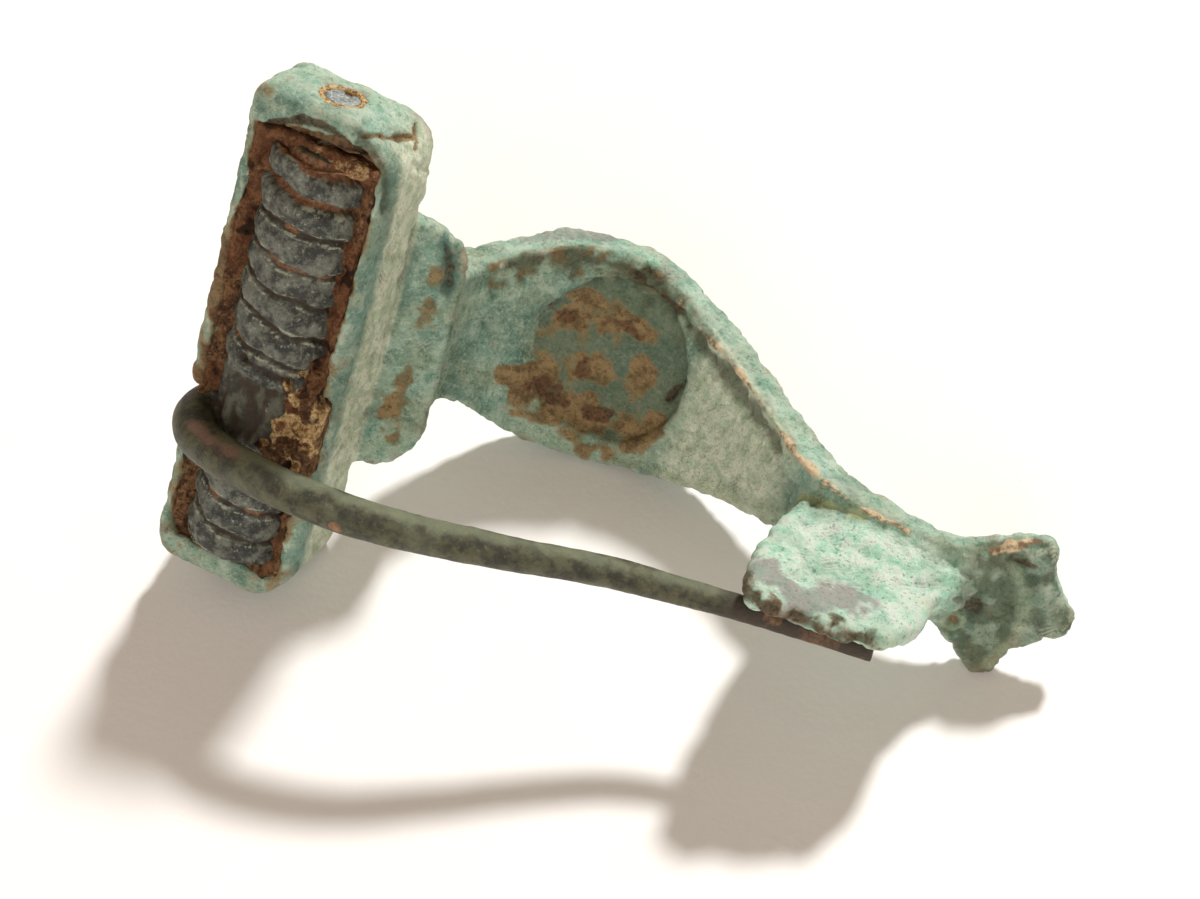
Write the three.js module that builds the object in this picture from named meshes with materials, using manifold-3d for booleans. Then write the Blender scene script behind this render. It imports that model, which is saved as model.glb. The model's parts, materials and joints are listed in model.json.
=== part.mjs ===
// A Roman knee brooch of cast bronze with a box-shaped spring case, lying on its side.
// Millimetres. The brooch is drawn in its own frame and laid down at the end:
//   x runs from the head (the spring case) to the foot,
//   y runs from the pin side, worn against the cloth, to the show side,
//   z runs along the spring, with the middle of the case at 0.
import * as THREE from "three";
import { RoundedBoxGeometry } from "three/addons/geometries/RoundedBoxGeometry.js";
import { mergeVertices } from "three/addons/utils/BufferGeometryUtils.js";
import Module from "manifold-3d";

const wasm = await Module();
wasm.setup();

// ---- driving dimensions ----
const spring_case = {
  width: 7.3, // across, along x
  depth: 5.6, // from the open back at y = 0 to the front
  length: 26.0, // along the spring
  longEdge: 0.9, // rounding of the edges along the spring
  headCorner: 1.5, // rounding of the ends seen from the back, on the side away from the bow
  footCorner: { top: 3.3, bottom: 2.5 }, // and on the side of the bow
  frontEndEdge: { top: 3.0, bottom: 2.6 }, // rounding of the ends' front edges, seen from the side
  backEndEdge: 0.8, // and of their back edges
  sideWall: 0.72,
  frontWall: 1.05,
  topEnd: 2.1,
  bottomEnd: 1.4,
};
// The slot in the side wall that the pin's root swings in, and the worn notch in the other rim.
const rootSlot = { front: 2.9, bottom: -6.0, top: -3.1 };
const wornNotch = { front: 0.75, bottom: -5.4, top: -1.0 };
// The plate between case and bow; tilt turns its foot side away from the table of the case's back.
const headPlate = { thickness: 0.9, bevel: 0.15, tilt: 0.36, x: 0.5, y: 5.3, slantHalf: 5.0, widestHalf: 7.0 };
const axis = { y: 1.65, rodRadius: 0.75, rodHole: 1.05, headRadius: 0.9, headLength: 0.5 };
const wire = { radial: 1.35, axial: 1.42, pitch: 1.66, coilRadius: 2.62 };
const sleeve = { radius: 2.45, bore: 1.1, top: -1.0, bottom: -4.3 };
const dish = { x: 12.8, halfLength: 4.4, halfWidth: 4.7, depth: 0.75 };
const bowHollow = 0.35; // how deep the hollow side is scooped between its rims
const catchPlate = { thickness: 0.95, bevel: 0.12 };
// The bow is drawn as this many even sections. Between two of them the root of the catch plate
// swells into the bow, with this reach down the plate and across the bow.
const bowSections = 56;
const catchRoot = { first: 41, last: 53, down: 2.3, across: 1.7, sunk: 0.6 };
const finial = { thickness: 1.15, bevel: 0.3, slope: 0.15, x: 35.75, y: 7.3 };
const pinRadius = { root: 1.08, middle: 0.86, tip: 0.5 };
const lying = {
  footDrop: THREE.MathUtils.degToRad(11.5), // the foot hangs lower than the head by this much
  leanForward: THREE.MathUtils.degToRad(24.0), // the show side tips down until the bow's edge lands
  trim: 0.3, // depth of the small flats worn where the brooch touches the table
};

// The bow from neck to foot, along its hollow side:
// x, y, half width, thickness at the sides and thickness at the crown.
const bowStations = [
  [6.1, 6.2, 4.7, 3.0, 3.5],
  [5.8, 8.9, 3.8, 2.2, 2.8],
  [6.8, 10.4, 4.2, 2.0, 2.6],
  [8.2, 11.4, 5.05, 2.15, 2.75],
  [10.0, 12.4, 5.8, 2.15, 2.85],
  [12.8, 13.05, 5.9, 1.95, 2.75],
  [15.0, 12.9, 5.4, 1.8, 2.6],
  [17.9, 11.85, 4.3, 1.8, 2.5],
  [20.9, 10.25, 3.1, 1.9, 2.4],
  [23.0, 8.9, 2.35, 2.0, 2.4],
  [25.0, 7.65, 1.95, 2.0, 2.4],
  [27.5, 6.8, 1.9, 1.9, 2.3],
  [30.5, 6.35, 1.95, 1.7, 2.1],
  [33.0, 6.55, 2.1, 1.3, 1.9],
  [36.0, 7.3, 1.4, 0.8, 1.4],
];

// The pin's centre line, from the sleeve round the back of the case to the catch.
const pinPath = [
  [-1.5, 2.2, -3.9],
  [-2.6, 1.2, -4.25],
  [-2.8, -0.1, -4.5],
  [-1.9, -1.45, -4.55],
  [0.25, -2.6, -4.3],
  [4.05, -3.85, -3.6],
  [6.9, -4.05, -3.25],
  [10.4, -3.65, -2.85],
  [14.2, -2.5, -2.55],
  [18.15, -1.1, -2.25],
  [22.1, 0.0, -2.1],
  [26.5, 0.4, -1.6],
  [30.8, 0.75, -1.28],
];

// ---- materials ----
const verdigris = new THREE.MeshStandardMaterial({ color: 0x86b3a4, roughness: 0.85, metalness: 0.15 });
const darkBronze = new THREE.MeshStandardMaterial({ color: 0x5c5d45, roughness: 0.6, metalness: 0.35 });
const greyMetal = new THREE.MeshStandardMaterial({ color: 0x7d8480, roughness: 0.55, metalness: 0.6 });

// ---- tools for solids ----
function solid(geometry) {
  const bare = geometry.clone();
  for (const name of Object.keys(bare.attributes)) {
    if (name !== "position") bare.deleteAttribute(name);
  }
  const merged = mergeVertices(bare, 1e-4);
  return new wasm.Manifold(
    new wasm.Mesh({
      numProp: 3,
      vertProperties: merged.attributes.position.array,
      triVerts: new Uint32Array(merged.index.array),
    }),
  );
}

function geometryOf(body) {
  const mesh = body.getMesh();
  const geometry = new THREE.BufferGeometry();
  geometry.setAttribute("position", new THREE.BufferAttribute(mesh.vertProperties, 3));
  geometry.setIndex(new THREE.BufferAttribute(mesh.triVerts, 1));
  const faceted = geometry.toNonIndexed();
  faceted.computeVertexNormals();
  return faceted;
}

// Closed skin over a row of rings, each an array of Vector3 with the same count, capped at both ends.
function skin(rings) {
  const size = rings[0].length;
  const points = rings.flat();
  const faces = [];
  for (let i = 0; i + 1 < rings.length; i++) {
    for (let j = 0; j < size; j++) {
      const next = (j + 1) % size;
      const [a, b] = [i * size + j, i * size + next];
      faces.push(a, b, b + size, a, b + size, a + size);
    }
  }
  const last = (rings.length - 1) * size;
  for (const [start, turned] of [[0, true], [last, false]]) {
    const middle = new THREE.Vector3();
    for (let j = 0; j < size; j++) middle.addScaledVector(points[start + j], 1 / size);
    const hub = points.push(middle) - 1;
    for (let j = 0; j < size; j++) {
      const [a, b] = [start + j, start + ((j + 1) % size)];
      faces.push(hub, turned ? b : a, turned ? a : b);
    }
  }
  const geometry = new THREE.BufferGeometry().setFromPoints(points);
  geometry.setIndex(faces);
  return solid(geometry);
}

function ring(count, pointAt) {
  return Array.from({ length: count }, (_, j) => pointAt((j / count) * 2 * Math.PI));
}

function boxBetween(low, high) {
  const size = high.map((value, i) => value - low[i]);
  const box = new THREE.BoxGeometry(...size);
  box.translate(...low.map((value, i) => value + size[i] / 2));
  return solid(box);
}

function roundedBoxBetween(low, high, radius) {
  const size = high.map((value, i) => value - low[i]);
  const box = new RoundedBoxGeometry(...size, 3, radius);
  box.translate(...low.map((value, i) => value + size[i] / 2));
  return solid(box);
}

// An outline with round corners, each with its own radius.
function roundedRectangle(left, right, low, high, corners) {
  const { highRight, highLeft, lowLeft, lowRight } = corners;
  const outline = new THREE.Shape();
  outline.absarc(right - highRight, high - highRight, highRight, 0, Math.PI / 2);
  outline.absarc(left + highLeft, high - highLeft, highLeft, Math.PI / 2, Math.PI);
  outline.absarc(left + lowLeft, low + lowLeft, lowLeft, Math.PI, 1.5 * Math.PI);
  outline.absarc(right - lowRight, low + lowRight, lowRight, 1.5 * Math.PI, 2 * Math.PI);
  return outline;
}

// The outline extruded to a length, half of it on each side of its plane.
function prism(outline, length) {
  const body = new THREE.ExtrudeGeometry(outline, { depth: length, bevelEnabled: false, curveSegments: 5 });
  return body.translate(0, 0, -length / 2);
}

// A cylinder along z about the spring's axis.
function axisCylinder(radius, bottom, top) {
  const cylinder = new THREE.CylinderGeometry(radius, radius, top - bottom, 28);
  cylinder.rotateX(Math.PI / 2);
  cylinder.translate(0, axis.y, (top + bottom) / 2);
  return solid(cylinder);
}

// ---- the spring case ----
const caseTop = spring_case.length / 2;
const cavityHalf = spring_case.width / 2 - spring_case.sideWall;
const cavityTop = caseTop - spring_case.topEnd;
const cavityBottom = -caseTop + spring_case.bottomEnd;

function caseBlock() {
  const half = spring_case.width / 2;
  const { depth, longEdge, headCorner, footCorner, frontEndEdge, backEndEdge } = spring_case;
  const endCorners = { highRight: longEdge, highLeft: longEdge, lowLeft: longEdge, lowRight: longEdge };
  const backCorners = {
    highRight: footCorner.top,
    highLeft: headCorner,
    lowLeft: headCorner,
    lowRight: footCorner.bottom,
  };
  const sideCorners = {
    highRight: frontEndEdge.top,
    highLeft: backEndEdge,
    lowLeft: backEndEdge,
    lowRight: frontEndEdge.bottom,
  };
  const seenFromEnd = prism(roundedRectangle(-half, half, 0, depth, endCorners), 2 * caseTop);
  const seenFromBack = prism(roundedRectangle(-half, half, -caseTop, caseTop, backCorners), 2 * depth);
  const seenFromSide = prism(roundedRectangle(0, depth, -caseTop, caseTop, sideCorners), 4 * half);
  const [x, y, z] = [[1, 0, 0], [0, 1, 0], [0, 0, 1]].map((axis) => new THREE.Vector3(...axis));
  const ontoBack = new THREE.Matrix4().makeBasis(x, z, y.clone().negate());
  const ontoSide = new THREE.Matrix4().makeBasis(y, z, x);
  return solid(seenFromEnd)
    .intersect(solid(seenFromBack.applyMatrix4(ontoBack)))
    .intersect(solid(seenFromSide.applyMatrix4(ontoSide)));
}

// What is hollow in the case: the room for the spring, the rod's holes, the slot that the pin
// comes out through, and the worn notch in the rim opposite.
function caseHollow() {
  const half = spring_case.width / 2;
  const cavity = roundedBoxBetween(
    [-cavityHalf, -3, cavityBottom],
    [cavityHalf, spring_case.depth - spring_case.frontWall, cavityTop],
    0.7,
  );
  const rodHole = axisCylinder(axis.rodHole, -caseTop - 1, caseTop + 1);
  const slot = boxBetween(
    [-half - 1, -1, rootSlot.bottom],
    [-cavityHalf + 0.5, rootSlot.front, rootSlot.top],
  );
  const notch = boxBetween(
    [cavityHalf - 0.5, -1, wornNotch.bottom],
    [half + 1, wornNotch.front, wornNotch.top],
  );
  return cavity.add(rodHole).add(slot).add(notch);
}

// ---- the plate between case and bow ----
function headPlateBody() {
  const { slantHalf, widestHalf, thickness, bevel } = headPlate;
  const outline = new THREE.Shape();
  outline.moveTo(-1.0, -slantHalf);
  outline.lineTo(2.6, -widestHalf);
  outline.lineTo(4.1, -widestHalf + 0.35);
  outline.quadraticCurveTo(5.4, -widestHalf + 0.8, 5.8, -4.4);
  outline.lineTo(5.8, 4.4);
  outline.quadraticCurveTo(5.4, widestHalf - 0.8, 4.1, widestHalf - 0.35);
  outline.lineTo(2.6, widestHalf);
  outline.lineTo(-1.0, slantHalf);
  const plate = new THREE.ExtrudeGeometry(outline, {
    depth: thickness,
    bevelSize: bevel,
    bevelThickness: bevel,
    bevelOffset: -bevel,
    bevelSegments: 1,
    curveSegments: 5,
  });
  plate.rotateX(Math.PI / 2);
  plate.rotateZ(headPlate.tilt);
  plate.translate(headPlate.x, headPlate.y, 0);
  return solid(plate);
}

// ---- the bow ----
const bowCurve = new THREE.CatmullRomCurve3(bowStations.map(([x, y]) => new THREE.Vector3(x, y, 0)));
// The same places along the bow give its half width, side thickness and crown thickness.
const bowSizes = new THREE.CatmullRomCurve3(
  bowStations.map(([, , half, side, crown]) => new THREE.Vector3(half, side, crown)),
);

// A point of the bow: t along it, z across it, and how deep from the hollow side to the show side.
function bowPoint(t, z, depth) {
  const base = bowCurve.getPoint(THREE.MathUtils.clamp(t, 0, 1));
  const along = bowCurve.getTangent(THREE.MathUtils.clamp(t, 0, 1));
  return new THREE.Vector3(base.x - along.y * depth, base.y + along.x * depth, z);
}

// One section of the bow. Its hollow side is scooped between the rims, less so where the bow is narrow.
function bowRing(t) {
  const { x: half, y: side, z: crown } = bowSizes.getPoint(t);
  const backSteps = 8;
  const frontSteps = 10;
  const points = [];
  for (let j = 0; j <= backSteps; j++) {
    const share = (2 * j) / backSteps - 1;
    const hollow = bowHollow * (1 - share ** 4) * Math.min(1, half / 4);
    points.push(bowPoint(t, half * share, hollow));
  }
  for (let j = 0; j <= frontSteps; j++) {
    const share = 1 - (2 * j) / frontSteps;
    const depth = side + (crown - side) * (1 - share * share);
    points.push(bowPoint(t, half * share, depth));
  }
  return points.reverse();
}

function bow() {
  return skin(Array.from({ length: bowSections + 1 }, (_, i) => bowRing(i / bowSections)));
}

// The shallow oval dish in the hollow side of the bow follows the bow's curve.
function dishCutter() {
  const centre = bowStations.findIndex(([x]) => x === dish.x) / (bowStations.length - 1);
  const wall = [
    [0.45, dish.depth],
    [0.8, 0.92 * dish.depth],
    [0.93, 0.62 * dish.depth],
    [1.0, 0.1],
    [1.03, -1.2],
  ];
  return skin(
    wall.map(([share, depth]) =>
      ring(40, (angle) => {
        const along = dish.halfLength * share * Math.cos(angle);
        const across = dish.halfWidth * share * Math.sin(angle);
        return bowPoint(alongBow(centre, along), across, depth + 0.2);
      }),
    ),
  );
}

// The curve place at a distance in millimetres from another place.
function alongBow(from, distance) {
  const step = Math.sign(distance) * 0.002;
  let place = from;
  let gone = 0;
  let here = bowCurve.getPoint(place);
  while (gone < Math.abs(distance)) {
    const next = bowCurve.getPoint(place + step);
    gone += next.distanceTo(here);
    here = next;
    place += step;
  }
  return place;
}

// ---- the catch plate, its lip broken away ----
function catchPlateBody() {
  const outline = new THREE.Shape();
  outline.moveTo(24.9, 9.4);
  outline.lineTo(24.5, 4.6);
  outline.lineTo(24.2, 1.8);
  outline.quadraticCurveTo(24.2, 0.2, 24.5, -1.3);
  outline.lineTo(25.6, -1.55);
  outline.lineTo(26.7, -1.35);
  outline.lineTo(28.6, -1.2);
  outline.lineTo(29.3, -0.95);
  outline.lineTo(31.0, -0.6);
  outline.quadraticCurveTo(31.9, 0.4, 32.1, 1.6);
  outline.lineTo(32.5, 4.6);
  outline.lineTo(33.6, 7.6);
  outline.lineTo(29.0, 7.6);
  const plate = new THREE.ExtrudeGeometry(outline, {
    depth: catchPlate.thickness - 2 * catchPlate.bevel,
    bevelSize: catchPlate.bevel,
    bevelThickness: catchPlate.bevel,
    bevelOffset: -catchPlate.bevel,
    bevelSegments: 1,
    curveSegments: 4,
  });
  plate.translate(0, 0, catchPlate.bevel - catchPlate.thickness / 2);
  return solid(plate);
}

// One of the two swellings between the plate and the bow: side is 1 above the plate and -1 below it.
function catchRootBody(side) {
  const steps = catchRoot.last - catchRoot.first;
  const rings = Array.from({ length: steps + 1 }, (_, i) => {
    const share = i / steps;
    const t = (catchRoot.first + i) / bowSections;
    const full = Math.min(1, 0.1 + 3 * Math.min(share, 1 - share));
    const inner = 0.2;
    const bend = THREE.MathUtils.lerp(inner, catchRoot.across, 0.45);
    const corners = [
      bowPoint(t, side * inner, catchRoot.sunk),
      bowPoint(t, side * inner, -catchRoot.down * full),
      bowPoint(t, side * bend, -0.55 * catchRoot.down * full),
      bowPoint(t, side * THREE.MathUtils.lerp(inner, catchRoot.across, full), catchRoot.sunk),
    ];
    return side > 0 ? corners.reverse() : corners;
  });
  return skin(rings);
}

// ---- the three-lobed finial ----
function finialBody() {
  const outline = new THREE.Shape();
  outline.moveTo(31.6, -1.9);
  outline.quadraticCurveTo(33.4, -2.7, 35.3, -4.25);
  outline.lineTo(36.2, -4.1);
  outline.quadraticCurveTo(36.3, -1.9, 38.5, -0.65);
  outline.quadraticCurveTo(39.0, 0, 38.5, 0.65);
  outline.quadraticCurveTo(36.5, 1.7, 36.7, 3.55);
  outline.lineTo(35.9, 3.9);
  outline.quadraticCurveTo(33.6, 2.5, 31.6, 1.9);
  const plate = new THREE.ExtrudeGeometry(outline, {
    depth: finial.thickness - 2 * finial.bevel,
    bevelSize: finial.bevel,
    bevelThickness: finial.bevel,
    bevelOffset: -finial.bevel,
    bevelSegments: 1,
    curveSegments: 5,
  });
  plate.rotateX(Math.PI / 2);
  plate.translate(-finial.x, finial.thickness - finial.bevel, 0);
  plate.rotateZ(finial.slope);
  plate.translate(finial.x, finial.y, 0);
  return solid(plate);
}

// ---- the spring and the pin, one wire ----
function coil(top, bottom) {
  const turns = (top - bottom) / wire.pitch;
  const steps = Math.round(turns * 16);
  const middle = wire.coilRadius - wire.radial / 2;
  const rings = Array.from({ length: steps + 1 }, (_, i) => {
    const share = i / steps;
    const angle = -share * turns * 2 * Math.PI;
    const z = THREE.MathUtils.lerp(top, bottom, share);
    return ring(8, (around) => {
      const reach = middle + (wire.radial / 2) * Math.cos(around);
      const lift = (wire.axial / 2) * Math.sin(around);
      return new THREE.Vector3(reach * Math.cos(angle), axis.y + reach * Math.sin(angle), z + lift);
    });
  });
  return skin(rings);
}

function sleeveBody() {
  const profile = [
    [sleeve.bore, sleeve.bottom],
    [sleeve.radius, sleeve.bottom],
    [sleeve.radius, sleeve.top],
    [sleeve.bore, sleeve.top],
    [sleeve.bore, sleeve.bottom],
  ].map(([radius, z]) => new THREE.Vector2(radius, z));
  const lathe = new THREE.LatheGeometry(profile, 32);
  lathe.rotateX(Math.PI / 2);
  lathe.translate(0, axis.y, 0);
  return solid(lathe);
}

function pinBody() {
  const curve = new THREE.CatmullRomCurve3(
    pinPath.map((point) => new THREE.Vector3(...point)),
    false,
    "centripetal",
  );
  const steps = 44;
  const up = new THREE.Vector3(0, 0, 1);
  const rings = Array.from({ length: steps + 1 }, (_, i) => {
    const share = i / steps;
    const centre = curve.getPointAt(share);
    const along = curve.getTangentAt(share);
    const side = new THREE.Vector3().crossVectors(along, up).normalize();
    const rise = new THREE.Vector3().crossVectors(along, side).normalize();
    const radius =
      share < 0.5
        ? THREE.MathUtils.lerp(pinRadius.root, pinRadius.middle, share * 2)
        : THREE.MathUtils.lerp(pinRadius.middle, pinRadius.tip, share * 2 - 1);
    return ring(10, (around) =>
      centre
        .clone()
        .addScaledVector(side, radius * Math.cos(around))
        .addScaledVector(rise, radius * Math.sin(around)),
    );
  });
  return skin(rings);
}

function springAndPin() {
  const endGap = wire.axial / 2 + 0.35;
  const lap = 0.2;
  const topCoil = coil(cavityTop - endGap, sleeve.top - lap);
  const bottomCoil = coil(sleeve.bottom + lap, cavityBottom + endGap);
  return topCoil.add(sleeveBody()).add(bottomCoil).add(pinBody().subtract(axisCylinder(sleeve.bore, -8, 8)));
}

// ---- the rod that the spring is wound round, its ends flush in the end plates ----
function rodBody() {
  const end = caseTop - 0.1;
  const neck = end - axis.headLength;
  const profile = [
    [0, -end],
    [axis.headRadius - 0.15, -end],
    [axis.headRadius, -end + 0.15],
    [axis.headRadius, -neck],
    [axis.rodRadius, -neck + 0.15],
    [axis.rodRadius, neck - 0.15],
    [axis.headRadius, neck],
    [axis.headRadius, end - 0.15],
    [axis.headRadius - 0.15, end],
    [0, end],
  ].map(([radius, z]) => new THREE.Vector2(radius, z));
  const lathe = new THREE.LatheGeometry(profile, 20);
  lathe.rotateX(Math.PI / 2);
  lathe.translate(0, axis.y, 0);
  return solid(lathe);
}

// ---- lying down ----
const brooch = new THREE.Group();
brooch.rotation.set(-lying.leanForward, lying.footDrop, 0);
brooch.updateMatrixWorld(true);

// The table, as a slab in the brooch's own frame whose top is at a height along the upward direction.
function tableSlab(height) {
  const slab = new THREE.BoxGeometry(120, 120, 20);
  slab.translate(0, 0, height - 10);
  slab.applyMatrix4(brooch.matrixWorld.clone().invert());
  return solid(slab);
}

function lowestPoint(body) {
  const geometry = geometryOf(body).applyMatrix4(brooch.matrixWorld);
  geometry.computeBoundingBox();
  return geometry.boundingBox.min.z;
}

const wholeCasting = caseBlock()
  .add(headPlateBody())
  .subtract(caseHollow())
  .add(bow().subtract(dishCutter()))
  .add(finialBody())
  .add(catchPlateBody())
  .add(catchRootBody(1))
  .add(catchRootBody(-1));
const tableHeight = lowestPoint(wholeCasting) + lying.trim;
const casting = wholeCasting.subtract(tableSlab(tableHeight));

function piece(name, body, material) {
  const mesh = new THREE.Mesh(geometryOf(body), material);
  mesh.name = name;
  return mesh;
}

brooch.add(piece("brooch_casting", casting, verdigris));
brooch.add(piece("spring_and_pin", springAndPin(), darkBronze));
brooch.add(piece("spring_axis_rod", rodBody(), greyMetal));

// The origin is the middle of the underside.
const part = new THREE.Group();
part.add(brooch);
const extent = new THREE.Box3().setFromObject(part, true);
const middle = extent.getCenter(new THREE.Vector3());
brooch.position.set(-middle.x, -middle.y, -tableHeight);

export default part;
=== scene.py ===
"""A Roman knee brooch of cast bronze, green with age, lying on its side on a pale table.

The CAD solids give the shapes. Here each is turned into a fine skin that is rounded, worn and
pitted as corroded bronze is, and the soil left in the spring case is added.
All shaping is in millimetres in the brooch's own frame, as in the part's source:
x from head to foot, y from the pin side to the show side, z along the spring.
"""

import json

import bpy
import numpy as np
from mathutils import Matrix, Vector


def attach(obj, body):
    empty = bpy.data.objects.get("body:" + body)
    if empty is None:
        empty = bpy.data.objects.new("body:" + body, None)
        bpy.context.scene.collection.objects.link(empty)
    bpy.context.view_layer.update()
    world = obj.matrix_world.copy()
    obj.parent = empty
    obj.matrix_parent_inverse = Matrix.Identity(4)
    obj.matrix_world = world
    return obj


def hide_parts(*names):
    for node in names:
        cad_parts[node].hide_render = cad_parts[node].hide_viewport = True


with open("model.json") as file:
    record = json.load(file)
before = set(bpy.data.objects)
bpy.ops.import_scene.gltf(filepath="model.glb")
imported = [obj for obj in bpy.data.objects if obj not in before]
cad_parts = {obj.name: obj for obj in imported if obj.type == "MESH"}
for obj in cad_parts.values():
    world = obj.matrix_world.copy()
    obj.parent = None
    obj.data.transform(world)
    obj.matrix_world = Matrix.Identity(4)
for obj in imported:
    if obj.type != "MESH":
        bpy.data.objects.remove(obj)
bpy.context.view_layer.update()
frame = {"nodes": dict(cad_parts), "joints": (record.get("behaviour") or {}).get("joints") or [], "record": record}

# ---- driving dimensions, in millimetres in the brooch's frame ----
CASE_HALF = 3.65
CASE_TOP = 13.0
CAVITY_HALF = 2.93
CAVITY_TOP = 10.9
CAVITY_BOTTOM = -11.6
CAVITY_FLOOR = 4.55
AXIS_Y = 1.65
COIL_RADIUS = 2.62
COIL_PITCH = 1.66
COIL_BORE = 1.15
COIL_END_GAP = 0.35
SLEEVE_TOP = -1.0
SLEEVE_BOTTOM = -4.3
SLEEVE_RADIUS = 2.45
ROD_RADIUS = 0.9
ROD_HALF = 12.9
PIN_PATH = [
    (-1.5, 2.2, -3.9), (-2.6, 1.2, -4.25), (-2.8, -0.1, -4.5),
    (-1.9, -1.45, -4.55), (0.25, -2.6, -4.3), (4.05, -3.85, -3.6),
    (6.9, -4.05, -3.25), (10.4, -3.65, -2.85), (14.2, -2.5, -2.55),
    (18.15, -1.1, -2.25), (22.1, 0.0, -2.1), (26.5, 0.4, -1.6),
    (30.8, 0.75, -1.28),
]
PIN_RADII = (1.08, 0.86, 0.5)
NOTCH_TOP = -1.0
NOTCH_BOTTOM = -5.4
# Where the bow, the dish, the catch plate and the finial are along x.
BOW_START = 5.6
DISH_X = 12.86
DISH_HALF_LENGTH = 4.2
DISH_HALF_WIDTH = 4.7
CATCH_START = 24.0
FINIAL_START = 32.4
# The crust round each end of the rod in section: radius, and depth under the end of the case.
ROD_SEAT_SECTION = [(0.84, 0.7), (1.16, 0.7), (1.16, 0.12), (1.0, 0.02), (0.84, 0.1)]
# How far the soil reaches into the metal round it, so that no gap shows.
SOIL_OVERLAP = 0.12
# How fine the skins are.
CASTING_VOXEL = 0.15
SPRING_VOXEL = 0.12
SOIL_VOXEL = 0.12
ROD_VOXEL = 0.09

# ---- table and light in the world: directions from the brooch, metres and watts ----
TABLE_HALF = 1.2
LIT_HEIGHT = 0.008
KEY_TOWARDS = (0.13, 0.64, 0.76)
KEY_DISTANCE = 1.0
KEY_SIZE = 0.11
KEY_POWER = 11.0
KEY_TINT = (1.0, 0.985, 0.96)
FILL_TOWARDS = (0.15, -0.9, 0.38)
FILL_DISTANCE = 0.9
FILL_SIZE = 0.7
FILL_POWER = 3.8
FILL_TINT = (1.0, 0.99, 0.98)
WORLD_TINT = (1.0, 0.78, 0.58)
WORLD_STRENGTH = 0.36

# ---- camera, in the brooch's frame ----
CAMERA_PLACE = (31.31, -79.13, 49.61)
CAMERA_AHEAD = (-0.16167, 0.84974, -0.50180)
CAMERA_UP = (-0.40540, 0.40642, 0.81883)
CAMERA_LENS = 63.0
SENSOR_WIDTH = 36.0

# ---- the brooch's frame in the world ----
MM = 0.001


def unit(vector):
    """The vector made one long."""
    vector = np.asarray(vector, float)
    return vector / np.linalg.norm(vector)


def brooch_frame():
    """The rows are the brooch's x, y and z in the world; the origin is in metres."""
    hinge = next(joint for joint in frame["joints"] if joint["name"] == "pin_spring")
    side = next(mount for mount in frame["record"]["mounts"] if mount["name"] == "case_side")
    z = -unit(hinge["axis"])
    x = -unit(side["axis"])
    y = unit(np.cross(z, x))
    x = np.cross(y, z)
    rows = np.array([x, y, z])
    origin = np.array(hinge["pos_m"]) - MM * AXIS_Y * y
    return rows, origin


AXES, ORIGIN = brooch_frame()


def to_world(points):
    """Places in the brooch's frame, in millimetres, as metres in the world."""
    return ORIGIN + MM * np.asarray(points, float) @ AXES


def to_brooch(points):
    """The reverse of to_world."""
    return (np.asarray(points, float) - ORIGIN) @ AXES.T / MM


# ---- numbers that look random but are the same in every run ----
def lattice(i, j, k, seed):
    """A number from -1 to 1 for each whole-number place."""
    mixed = i * 73856093 ^ j * 19349663 ^ k * 83492791 ^ seed * 2654435761
    mixed = (mixed ^ (mixed >> 13)) & 0x7FFFFFFF
    mixed = (mixed * 1274126177 + 12345) & 0x7FFFFFFF
    mixed = (mixed ^ (mixed >> 16)) * 668265263 & 0x7FFFFFFF
    return (mixed >> 7 & 0xFFFF) / 32767.5 - 1.0


def grain(points, size, seed):
    """Smooth noise from -1 to 1 with lumps about size millimetres wide."""
    scaled = points / size + 100.0
    base = np.floor(scaled).astype(np.int64)
    part = scaled - base
    part = part * part * (3 - 2 * part)
    total = np.zeros(len(points))
    for corner in range(8):
        step = np.array([corner & 1, corner >> 1 & 1, corner >> 2 & 1])
        weight = np.prod(np.where(step, part, 1 - part), axis=1)
        total += weight * lattice(*(base + step).T, seed)
    return total


def rough(points, size, octaves, seed):
    """Noise of several sizes added together."""
    total = np.zeros(len(points))
    for octave in range(octaves):
        total += grain(points, size / 2**octave, seed + octave) / 1.7**octave
    return total


def rise(values, low, high):
    """0 below low, 1 above high and smooth between."""
    share = np.clip((values - low) / (high - low), 0, 1)
    return share * share * (3 - 2 * share)


def fall(values, low, high):
    """1 below low, 0 above high and smooth between."""
    return 1 - rise(values, low, high)


def spot(points, centre, radii, seed, ragged=0.35, lumps=0.9, soft=0.35):
    """1 inside a ragged blob about centre, 0 outside."""
    offset = (points - np.array(centre)) / np.array(radii)
    reach = np.linalg.norm(offset, axis=1) + ragged * rough(points, lumps, 3, seed)
    return fall(reach, 1.15 - soft, 1.15)


def spots(points, places, seed, **shape):
    """The union of several blobs, each a centre and its radii."""
    masks = []
    for i, (centre, radii) in enumerate(places):
        masks.append(spot(points, centre, radii, seed + 7 * i, **shape))
    return np.max(masks, axis=0)


def line(points, path, width, seed, ragged=0.4):
    """1 along a path through the metal, falling to 0 at width to each side."""
    nearest = np.full(len(points), 1e9)
    for start, end in zip(path, path[1:]):
        start, end = np.array(start), np.array(end)
        along = end - start
        share = np.clip((points - start) @ along / (along @ along), 0, 1)
        off_line = points - start - share[:, None] * along
        nearest = np.minimum(nearest, np.linalg.norm(off_line, axis=1))
    return fall(nearest / width + ragged * rough(points, 0.7, 3, seed), 0.25, 1.0)


class Masks:
    """Masks over a skin's points by name, each 0 where it has no effect and 1 where it has all."""

    def __init__(self, **named):
        self.__dict__.update(named)


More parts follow.
